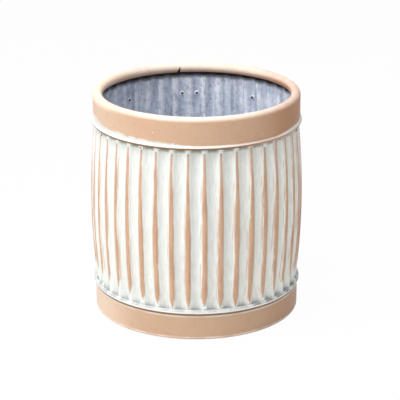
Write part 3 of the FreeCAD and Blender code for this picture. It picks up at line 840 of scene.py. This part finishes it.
@dataclass(frozen=True)
class FootPaint(BandPaint):
    """Paint of the foot band, with cream on top of its bead and a pale bottom edge: rubbed, with a painted
    highlight.
    """

    terracotta: Colour = tint(206, 169, 139)
    pale: Colour = tint(214, 180, 150)
    painted_sheen: Colour = tint(240, 214, 190)
    painted_sheen_share: float = 0.9
    painted_shade_share: float = 0.45
    rubbed: Colour = tint(248, 228, 216)
    chip: Colour = tint(112, 92, 84)
    residue: Colour = tint(226, 220, 206)
    cream: Colour = tint(255, 255, 250)
    bead_top_shade: Colour = tint(200, 204, 205)
    gap_shade_light: Colour = tint(182, 187, 189)
    gap_shade: Colour = tint(138, 144, 148)
    rubbed_from: float = 2.4
    rubbed_to: float = 5.2
    cream_bottom: float = 49.0
    bead_bottom: float = 44.6
    residue_bottom: float = 41.4
    bead_top_shade_from: float = 52.2
    ear_bottom: float = 55.2
    ear_half: float = 4.6

    def material(self) -> bpy.types.Material:
        """Return the finish.

        Under the cream of the bead's top lies a brown line, the underside painted darker as its shade, and
        under that a thin line of cream left on the band. The bottom edge is rubbed pale, with a painted
        highlight on its bend, a painted shadow along its very bottom and a few dark chips. Painted shade lies
        on the bead between the ribs.

        Returns:
            The material.
        """
        on = Surface("foot_paint", self.effects)
        # Pale line along the bottom bend: rubbed paint and a painted highlight.
        rubbed_and_highlight = on.product(
            self.between(on, self.rubbed_from, self.rubbed_to, soft=0.6),
            on.blend(on.noise(on.spot, 0.04, 3.0), (0.4, 0.6), 0.5, 0.95))
        chips = on.product(
            on.blend(on.noise(on.spot, 0.3), (0.66, 0.72)), on.blend(on.height, (2.5, 4.5), 1.0, 0.0), 0.8)
        left_over = on.product(
            self.between(on, self.residue_bottom, self.bead_bottom, soft=0.5),
            on.blend(on.noise(on.spot, 0.03, 3.0), (0.4, 0.55), 0.5, 0.95))
        # The bead's underside, painted brown as its shade.
        brown = on.product(self.between(on, self.bead_bottom, self.cream_bottom), 0.85)
        layer = on.edge(on.minus(on.height, self.cream_bottom), coarse=0.9, fine=0.6, softness=0.4)
        # Painted shade on the bead's top between the ribs, darker in the valleys towards the sides.
        in_gap = on.product(
            on.blend(on.aside, (70.0, 130.0)),
            on.blend(on.aside, (168.0, 182.0), 1.0, 0.2),
            on.blend(on.off_crest, (4.0, 8.0)))
        gap_shade_light = on.mix(on.blend(on.sideways, (40.0, 120.0)), self.gap_shade_light, self.gap_shade)
        bead_top_shade_mask = on.product(
            on.blend(on.off_crest, (4.0, 11.0), 0.8, 1.0),
            on.blend(on.noise(on.spot, 0.12), (0.36, 0.56), 0.7, 1.0),
            on.step(on.height, self.bead_top_shade_from, 1.0))
        ears = on.product(
            on.step(on.height, self.ear_bottom, self.ear_soft),
            on.blend(on.off_crest, (self.ear_half, self.ear_half + 0.6), 1.0, 0.0))
        colour = on.layered(
            self.ground(on),
            (rubbed_and_highlight, self.rubbed),
            # Painted shadow along the very bottom, under the bend.
            (on.blend(on.height, (1.0, 2.2), 0.55, 0.0), self.shade),
            (chips, self.chip),
            (left_over, self.residue),
            (brown, self.bead_underside_shade),
            (layer, self.cream),
            (bead_top_shade_mask, on.mix(in_gap, self.bead_top_shade, gap_shade_light)),
            (ears, self.ear))
        self.finished(on, colour, layer)
        return on.material


@dataclass(frozen=True)
class DarkPrimer(Finish):
    """Inner face of the bands, dark primer made near black as painted shade in the gap under the roll, with
    rust inside the roll, and bare zinc at the foot.
    """

    primer: Colour = tint(60, 36, 32)
    dusty: Colour = tint(74, 60, 54)
    rust: Colour = tint(138, 70, 56)
    zinc: Colour = tint(232, 236, 241)
    roll_bottom: float = 383.5
    foot_top: float = 100.0
    roughness: float = 0.8

    def material(self) -> bpy.types.Material:
        """Return the finish."""
        on = Surface("dark_primer", self.effects)
        clouds = on.clouds(0.2, 2.4)
        colour = on.layered(
            # Near-black primer: the primer, made dark enough to stand for the shade in the gap under the roll.
            on.mix(clouds, self.primer, self.dusty),
            (on.step(on.height, self.roll_bottom, 0.5), self.rust),
            (on.step(on.height, self.foot_top, 1.0, 1.0, 0.0), self.zinc))
        on.coat(colour, on.blend(clouds, WHOLE, self.roughness, self.roughness - 0.15))
        return on.material


@dataclass(frozen=True)
class RivetMetal(Finish):
    """Bright rivet flanges inside, with the tails outside under the wall's cream paint."""

    bright: Colour = tint(252, 253, 255)
    dull: Colour = tint(230, 234, 242)
    dusty: Colour = tint(196, 202, 216)
    cream: Colour = tint(240, 243, 238)
    bore: Colour = tint(38, 38, 44)
    grime_and_shade: Colour = tint(146, 130, 106)
    bore_radius: float = 2.5
    tail_radius: float = 1.7
    rim_level: float = 341.26
    foot_level: float = 58.44
    outside_radius: float = 182.4
    clean_ribs: Span = (30.0, 32.0)
    metallic: float = 0.15
    roughness: float = 0.38

    def material(self) -> bpy.types.Material:
        """Return the finish: metal inside the wall's radius, paint beyond it and painted shade in each bore.

        A point's distance from its rivet's axis comes from its height over the rivet's level and from its
        distance across the nearest rib.

        Returns:
            The material.
        """
        on = Surface("rivet_metal", self.effects)
        middle = (self.rim_level + self.foot_level) / 2.0
        over = on.minus(on.height, on.step(on.height, middle, 1.0, self.foot_level, self.rim_level))
        reach = on.math("SQRT", on.total(on.product(on.across, on.across), on.product(over, over)))
        outside = on.step(on.radius, self.outside_radius, 0.3)
        clouds = on.clouds(0.0, 2.5)
        metal = on.layered(
            on.mix(clouds, self.dull, self.bright),
            (on.blend(on.aside, (60.0, 95.0), 0.0, 0.7), self.dusty),
            # Painted shade inside each bore, with soiling in a thin ring round its mouth.
            (on.step(reach, self.bore_radius, 0.1, 1.0, 0.0), self.bore))
        # Brown on each tail's end, strongest under the rim bead: soiling and painted shade.
        worn = on.product(
            on.step(reach, self.tail_radius, 0.5, 0.9, 0.0),
            on.step(on.height, middle, 1.0, 0.45, 1.0),
            on.blend(on.rib, self.clean_ribs, 0.3, 1.0))
        colour = on.mix(outside, metal, on.mix(worn, self.cream, self.grime_and_shade))
        on.coat(colour, on.blend(clouds, WHOLE, self.roughness + 0.1, self.roughness))
        on.feed(on.shader.inputs["Metallic"], on.blend(outside, WHOLE, self.metallic, 0.0))
        return on.material


@dataclass(frozen=True)
class Ribs:
    """Corrugation round the wall: narrow crest arcs and wide valley arcs that meet on the flanks."""

    count: int = 41
    first_azimuth: float = 4.26
    depth: float = 6.4
    crest_share: float = 0.36
    crest_radius: float = 181.5

    def azimuth(self, rib: Array) -> Array:
        """Return the azimuth of places counted in ribs."""
        return self.first_azimuth + rib * 360.0 / self.count

    def pitch(self) -> float:
        """Return the width of a rib at its crest."""
        return math.tau * self.crest_radius / self.count

    @staticmethod
    def arc_drop(across: Array, chord: float, rise: float) -> Array:
        """Return how far an arc lies below its crown, from half its chord and its rise."""
        bend = (chord ** 2 + rise ** 2) / (2.0 * rise)
        return bend - np.sqrt(np.maximum(bend ** 2 - across ** 2, 0.0))

    def drop(self, rib: Array) -> Array:
        """Return how far the sheet lies below the crests.

        Args:
            rib: Places counted in ribs.

        Returns:
            The crest arc's drop near a crest, and elsewhere the depth less the valley arc's rise.
        """
        away = np.abs(rib - np.round(rib))
        width = self.pitch()
        valley = 1.0 - self.crest_share
        near = np.minimum(away, self.crest_share / 2.0) * width
        far = np.minimum(0.5 - away, valley / 2.0) * width
        crest = self.arc_drop(near, self.crest_share * width / 2.0, self.crest_share * self.depth)
        hollow = self.depth - self.arc_drop(far, valley * width / 2.0, valley * self.depth)
        return np.where(away <= self.crest_share / 2.0, crest, hollow)


@dataclass
class WallSheet(Dressed):
    """One corrugated sheet of the barrelled wall."""

    node: str
    first: float
    last: float
    lap_start: float
    ribs: Ribs
    thickness: float = 0.8
    bottom: float = 3.2
    top: float = 377.0
    barrel_bottom: float = 65.04
    barrel_top: float = 334.66
    bulge: float = 7.0
    lap_step: float = 1.0
    tuck_run: float = 0.9
    tuck_clear: float = 0.1
    columns_per_rib: int = 24
    rows: int = 56

    def tuck(self, rib: Array) -> Array:
        """Return how far the sheet is set in, a smooth step before it goes under the other sheet."""
        share = np.clip((rib - (self.lap_start - self.tuck_clear - self.tuck_run)) / self.tuck_run, 0.0, 1.0)
        return self.lap_step * share * share * (3.0 - 2.0 * share)

    def swell(self, height: Array) -> Array:
        """Return how much the barrel stands out at a height, a parabola between its two ends."""
        middle = (self.barrel_top + self.barrel_bottom) / 2.0
        half = (self.barrel_top - self.barrel_bottom) / 2.0
        return self.bulge * np.maximum(0.0, 1.0 - ((height - middle) / half) ** 2)

    def build(self) -> bpy.types.Object:
        """Return the sheet as a piece that stands for its node.

        The radius at a rib place and a height is the crest radius, plus the barrel's swell, less the
        corrugation's drop and the tuck at a lap.

        Returns:
            The piece, riding on the planter.
        """
        count = round((self.last - self.first) * self.columns_per_rib) + 1
        rib = np.linspace(self.first, self.last, count)[np.newaxis, :]
        height = np.linspace(self.bottom, self.top, self.rows)[:, np.newaxis]
        radius = self.ribs.crest_radius + self.swell(height) - self.ribs.drop(rib) - self.tuck(rib)
        azimuth = self.ribs.azimuth(rib)
        sheet = Shell(
            round_axis(azimuth, radius, height),
            round_axis(azimuth, radius - self.thickness, height),
        )
        made = piece_from(f"{self.node}_skin", [sheet])
        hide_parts(self.node)
        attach(made, BODY)
        return made


class StripPath:
    """Middle line of a bent strip in the plane of radius and height, sampled piece by piece."""

    def __init__(self, radius: float, height: float, heading: float) -> None:
        """Start at a point with a heading in degrees."""
        self.points: list[Array] = [np.array([[radius, height]])]
        self.headings: list[Array] = [np.array([heading])]

    def end(self) -> tuple[Array, float]:
        """Return the last point and heading."""
        return self.points[-1][-1], float(self.headings[-1][-1])

    def line(self, length: float, steps: int = 1) -> "StripPath":
        """Go straight ahead."""
        spot, heading = self.end()
        ahead = np.array([math.cos(math.radians(heading)), math.sin(math.radians(heading))])
        run = np.linspace(0.0, length, steps + 1)[1:, np.newaxis]
        self.points.append(spot + run * ahead)
        self.headings.append(np.full(steps, heading))
        return self

    def bend(self, radius: float, turn: float, steps: int) -> "StripPath":
        """Go round an arc, to the left where turn is positive."""
        spot, heading = self.end()
        side = math.copysign(radius, turn)
        first = math.radians(heading)
        centre = spot + side * np.array([-math.sin(first), math.cos(first)])
        now = np.radians(heading + np.linspace(0.0, turn, steps + 1)[1:])
        self.points.append(centre + side * np.stack((np.sin(now), -np.cos(now)), axis=-1))
        self.headings.append(np.degrees(now))
        return self

    def sides(self, thickness: float) -> tuple[Array, Array]:
        """Return the strip's left and right edges, half its thickness to each side of the middle line."""
        points = np.concatenate(self.points)
        now = np.radians(np.concatenate(self.headings))
        across = np.stack((-np.sin(now), np.cos(now)), axis=-1) * thickness / 2.0
        return points + across, points - across


@dataclass
class Bands(Dressed):
    """Rim band and foot band, each in two halves with riveting ears."""

    ribs: Ribs
    radius: float = 182.5
    thickness: float = 0.9
    height: float = 400.0
    roll_diameter: float = 17.0
    roll_turn: float = 300.0
    rim_depth: float = 51.9
    foot_depth: float = 51.6
    bead_bend: float = 3.2
    bead_cove: float = 1.5
    bead_rise: float = 70.0
    bead_return: float = 85.0
    foot_bend: float = 2.5
    flange_inside: float = 164.2
    ear_width: float = 9.1
    ear_reach: float = 7.2
    joint_margin: float = 0.3
    joint_gap: float = 0.01
    crack_width: float = 7.2
    crack_top: float = 3.5
    crack_stop: float = 5.3
    rear_rib: int = 21
    right_ribs: tuple[int, ...] = (0, 4, 8, 12, 16, 20, 21)
    left_ribs: tuple[int, ...] = (25, 29, 33, 37)
    steps_round: int = 160
    roll_steps: int = 56
    cove_steps: int = 8
    bead_steps: int = 20
    foot_steps: int = 10
    upright_steps: int = 12
    flat_steps: int = 4
    return_steps: int = 2
    ear_columns: int = 9
    ear_rows: int = 5

    def middle(self) -> float:
        """Return the radius of the bands' middle line."""
        return self.radius - self.thickness / 2.0

    def ear_angle(self) -> float:
        """Return an ear's width as an angle."""
        return math.degrees(self.ear_width / self.radius)

    def joints(self) -> tuple[float, float]:
        """Return the azimuths of the front joint and the back joint, each beside an ear."""
        margin = self.ear_angle() / 2.0 + self.joint_margin
        front = float(self.ribs.azimuth(np.array(0.0))) - margin
        rear = float(self.ribs.azimuth(np.array(float(self.rear_rib)))) + margin
        return front, rear

    def bead_start(self) -> float:
        """Return the height from a bead's middle to where its cove leaves the band."""
        return (self.bead_cove + self.bead_bend) * math.sin(math.radians(self.bead_rise))

    def bead(self, path: StripPath, way: int) -> StripPath:
        """Add a bead to a path; way is 1 where the path goes up and -1 where it goes down."""
        back = math.radians(self.bead_return)
        path.bend(self.bead_cove, -way * self.bead_rise, self.cove_steps)
        path.bend(self.bead_bend, way * (self.bead_rise + self.bead_return), self.bead_steps)
        reach = path.end()[0][0] - (self.radius - self.thickness) - self.thickness / 2.0 * math.cos(back)
        return path.line(reach / math.sin(back), self.return_steps)

    def rim_section(self) -> tuple[Array, Array]:
        """Return the rim band's outer and inner lines, from the bead up and round the roll."""
        coil = (self.roll_diameter - self.thickness) / 2.0
        centre = self.height - self.roll_diameter / 2.0
        turn = math.radians(self.roll_turn)
        inwards = self.middle() - coil + coil * math.cos(turn)
        path = StripPath(inwards, centre + coil * math.sin(turn), self.roll_turn - 90.0)
        path.bend(coil, -self.roll_turn, self.roll_steps)
        path.line(self.rim_depth - self.roll_diameter / 2.0 - self.bead_start(), self.upright_steps)
        outer, inner = self.bead(path, -1).sides(self.thickness)
        return outer[::-1], inner[::-1]

    def foot_section(self) -> tuple[Array, Array]:
        """Return the foot band's outer and inner lines, from the flange up to the bead."""
        level = self.thickness / 2.0
        path = StripPath(self.flange_inside, level, 0.0)
        path.line(self.middle() - self.foot_bend - self.flange_inside, self.flat_steps)
        path.bend(self.foot_bend, 90.0, self.foot_steps)
        path.line(self.foot_depth - self.bead_start() - level - self.foot_bend, self.upright_steps)
        inner, outer = self.bead(path, 1).sides(self.thickness)
        return outer, inner

    def crack(self, line: Array) -> Array:
        """Return how far the roll's open joint eats into the left half, as an angle for each point of a line.

        The opening is a wedge, widest under the roll and closing towards its top, and it stops short of the
        band's outer face.

        Args:
            line: Radius and height of each point.

        Returns:
            The angle in degrees.
        """
        low = self.height - self.roll_diameter - self.thickness
        high = self.height - self.crack_top
        width = self.crack_width * np.clip((high - line[:, 1]) / (high - low), 0.0, 1.0)
        opened = (line[:, 0] < self.middle() - self.crack_stop) & (line[:, 1] > low)
        return np.degrees(np.where(opened, width, 0.0) / line[:, 0])

    def swept(self, outer: Array, inner: Array, start: float, finish: float, cracked: bool) -> Shell:
        """Carry a section round the axis between two azimuths.

        Args:
            outer: Radius and height along the outer line.
            inner: The same for the inner line.
            start: First azimuth.
            finish: Last azimuth.
            cracked: Whether the first end is eaten by the roll's open joint.

        Returns:
            The closed sheet.
        """
        share = np.linspace(0.0, 1.0, self.steps_round)[np.newaxis, :]

        def grid(line: Array) -> Array:
            begin = (start + (self.crack(line) if cracked else np.zeros(len(line))))[:, np.newaxis]
            azimuth = begin + share * (finish - begin)
            return round_axis(azimuth, line[:, :1], line[:, 1:])

        return Shell(grid(outer), grid(inner))

    def ear(self, rib: int, edge: float, way: int) -> Shell:
        """Return the small plate under or over a bead that a rivet goes through.

        Args:
            rib: Rib that the ear lies on.
            edge: Height of the bead's inner edge.
            way: 1 where the ear goes up, -1 where it goes down.

        Returns:
            The plate.
        """
        middle = float(self.ribs.azimuth(np.array(float(rib))))
        half = self.ear_angle() / 2.0
        azimuth = np.linspace(middle - half, middle + half, self.ear_columns)[np.newaxis, :]
        ends = sorted((edge - way * self.thickness / 2.0, edge + way * self.ear_reach))
        height = np.linspace(ends[0], ends[1], self.ear_rows)[:, np.newaxis]
        outer = round_axis(azimuth, np.array(self.radius), height)
        return Shell(outer, round_axis(azimuth, np.array(self.radius - self.thickness), height))

    def build(self) -> dict[str, bpy.types.Object]:
        """Return the four halves, by node, as pieces that stand for their nodes."""
        front, rear = self.joints()
        halves = {
            "right": (front, rear - self.joint_gap, self.right_ribs),
            "left": (rear, front + 360.0 - self.joint_gap, self.left_ribs),
        }
        pieces: dict[str, bpy.types.Object] = {}
        sections = {"rim": (self.rim_section(), -1, 0), "foot": (self.foot_section(), 1, -1)}
        for band, ((outer, inner), way, end) in sections.items():
            edge = float((outer[end, 1] + inner[end, 1]) / 2.0)
            for half, (start, finish, ribs) in halves.items():
                cracked = band == "rim" and half == "left"
                shells = [self.swept(outer, inner, start, finish, cracked)]
                shells += [self.ear(rib, edge, way) for rib in ribs]
                node = f"{half}_{band}_band"
                made = piece_from(f"{node}_skin", shells)
                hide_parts(node)
                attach(made, BODY)
                pieces[node] = made
        return pieces


@dataclass
class KeptNodes:
    """Solids that keep their own shape and only get a finish."""

    nodes: dict[str, bpy.types.Object]

    def dress(self, name: str, finish: bpy.types.Material) -> bpy.types.Object:
        """Give a node's solid a finish."""
        node = self.nodes[name]
        node.data.materials.clear()
        node.data.materials.append(finish)
        return node


@dataclass(frozen=True)
class Lamp:
    """Square soft lamp: where it hangs and its width in metres, and its power in watts."""

    name: str
    spot: tuple[float, float, float]
    width: float
    power: float


@dataclass
class Studio:
    """Pale floor, soft light and the camera at the photograph's view, in metres but for foot_inside."""

    distance: float = 3.1246
    elevation: float = 19.55
    target_height: float = 0.19115
    lens: float = 156.66
    sensor_width: float = 36.0
    shift_sideways: float = 0.0086
    shift_up: float = 0.0015
    floor_half: float = 6.0
    floor_colour: Colour = (0.8, 0.8, 0.8, 1.0)
    floor_white: float = 0.97
    foot_inside: float = 164.0
    white_fade: float = 10.0
    world_colour: Colour = (1.0, 1.0, 1.0, 1.0)
    world_strength: float = 0.28
    lamps: tuple[Lamp, ...] = (
        Lamp("key", (-2.3, -1.3, 2.2), 1.5, 39.5),
        Lamp("top", (-0.4, -0.3, 2.4), 1.8, 46.5),
        Lamp("front", (-0.15, -2.5, 1.9), 1.4, 14.0),
    )

    def aimed(self, name: str, data: bpy.types.ID, spot: tuple[float, float, float]) -> bpy.types.Object:
        """Put a camera or a lamp at a spot, looking at the planter's middle."""
        made = bpy.data.objects.new(name, data)
        made.location = spot
        aim = Vector((0.0, 0.0, self.target_height)) - made.location
        made.rotation_euler = aim.to_track_quat("-Z", "Y").to_euler()
        bpy.context.scene.collection.objects.link(made)
        return made

    def camera(self) -> None:
        """Place the camera on the front axis, looking down at the planter's middle."""
        data = bpy.data.cameras.new("view")
        data.sensor_width = self.sensor_width
        data.lens = self.lens
        data.shift_x = self.shift_sideways
        data.shift_y = self.shift_up
        rise = math.radians(self.elevation)
        back = -self.distance * math.cos(rise)
        up = self.target_height + self.distance * math.sin(rise)
        bpy.context.scene.camera = self.aimed("view", data, (0.0, back, up))

    def hang(self, lamp: Lamp) -> None:
        """Hang a lamp that looks at the planter."""
        data = bpy.data.lights.new(lamp.name, "AREA")
        data.shape = "SQUARE"
        data.size = lamp.width
        data.energy = lamp.power
        self.aimed(lamp.name, data, lamp.spot)

    @staticmethod
    def white_for_view(wires: Wiring) -> Socket:
        """Return 1 for rays that come straight from the view, off gloss or through clear glass."""
        path = wires.node("ShaderNodeLightPath")
        seen = wires.math("MAXIMUM", path.outputs["Is Camera Ray"], path.outputs["Is Transmission Ray"])
        return wires.math("MAXIMUM", seen, path.outputs["Is Glossy Ray"])

    def floor_finish(self) -> bpy.types.Material:
        """Return the floor's finish: white to the view but under the planter, with a little of its shadow."""
        material = bpy.data.materials.new("pale_floor")
        material.use_nodes = True
        wires = Wiring(material.node_tree)
        wires.tree.nodes.clear()
        matt = wires.node("ShaderNodeBsdfDiffuse")
        matt.inputs["Color"].default_value = self.floor_colour
        glow = wires.node("ShaderNodeEmission")
        glow.inputs["Strength"].default_value = 1.0
        away = wires.node("ShaderNodeVectorMath", operation="LENGTH")
        wires.feed(away.inputs[0], wires.point())
        fade = (self.foot_inside - self.white_fade, self.foot_inside)
        shown = wires.blend(away.outputs["Value"], fade, 0.0, self.floor_white)
        both = wires.node("ShaderNodeMixShader")
        wires.feed(both.inputs[0], wires.product(self.white_for_view(wires), shown))
        wires.feed(both.inputs[1], matt.outputs[0])
        wires.feed(both.inputs[2], glow.outputs[0])
        output = wires.node("ShaderNodeOutputMaterial")
        wires.feed(output.inputs["Surface"], both.outputs[0])
        return material

    def floor(self) -> None:
        """Lay the floor, a square about the planter."""
        half = self.floor_half
        mesh = bpy.data.meshes.new("floor")
        corners = np.array([[-half, -half, 0.0], [half, -half, 0.0], [half, half, 0.0], [-half, half, 0.0]])
        mesh.from_pydata(corners, [], [(0, 1, 2, 3)])
        mesh.materials.append(self.floor_finish())
        made = bpy.data.objects.new("floor", mesh)
        bpy.context.scene.collection.objects.link(made)

    def world(self) -> None:
        """Fill the room with even light and show white behind the floor."""
        world = bpy.data.worlds.new("room")
        bpy.context.scene.world = world
        world.use_nodes = True
        wires = Wiring(world.node_tree)
        sky = world.node_tree.nodes["Background"]
        sky.inputs["Color"].default_value = self.world_colour
        strength = wires.blend(self.white_for_view(wires), WHOLE, self.world_strength, 1.0)
        wires.feed(sky.inputs["Strength"], strength)

    def build(self) -> None:
        """Set up the whole stage."""
        bpy.context.scene.view_settings.view_transform = "Standard"
        self.camera()
        self.floor()
        self.world()
        for lamp in self.lamps:
            self.hang(lamp)


def main() -> None:
    """Build the planter's pieces in order, dress them and set the stage."""
    logging.basicConfig(level=logging.INFO, format="%(name)s: %(message)s")
    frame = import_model()
    ribs = Ribs()
    effects = SharedEffects.built(ribs)
    zinc = DullZinc(effects).material()
    wall_paint = WornWallPaint(effects).material()
    primer = DarkPrimer(effects).material()
    rim_paint = RimPaint(effects).material()
    foot_paint = FootPaint(effects).material()
    rivet_metal = RivetMetal(effects).material()

    sheets = (
        WallSheet("right_wall_sheet", -0.5, 21.25, 19.75, ribs),
        WallSheet("left_wall_sheet", 19.75, 41.5, 40.5, ribs),
    )
    for sheet in sheets:
        piece = sheet.build()
        sheet.dress(piece, wall_paint, zinc)
        LOG.info("%s has %d faces", piece.name, len(piece.data.polygons))

    bands = Bands(ribs)
    for node, piece in bands.build().items():
        bands.dress(piece, rim_paint if "rim" in node else foot_paint, primer)
        LOG.info("%s has %d faces", piece.name, len(piece.data.polygons))

    kept = KeptNodes(frame["nodes"])
    for name, finish in (("base_pan", zinc), ("rim_rivets", rivet_metal), ("foot_rivets", rivet_metal)):
        LOG.info("%s keeps its solid", kept.dress(name, finish).name)

    Studio().build()


if __name__ == "__main__":
    main()
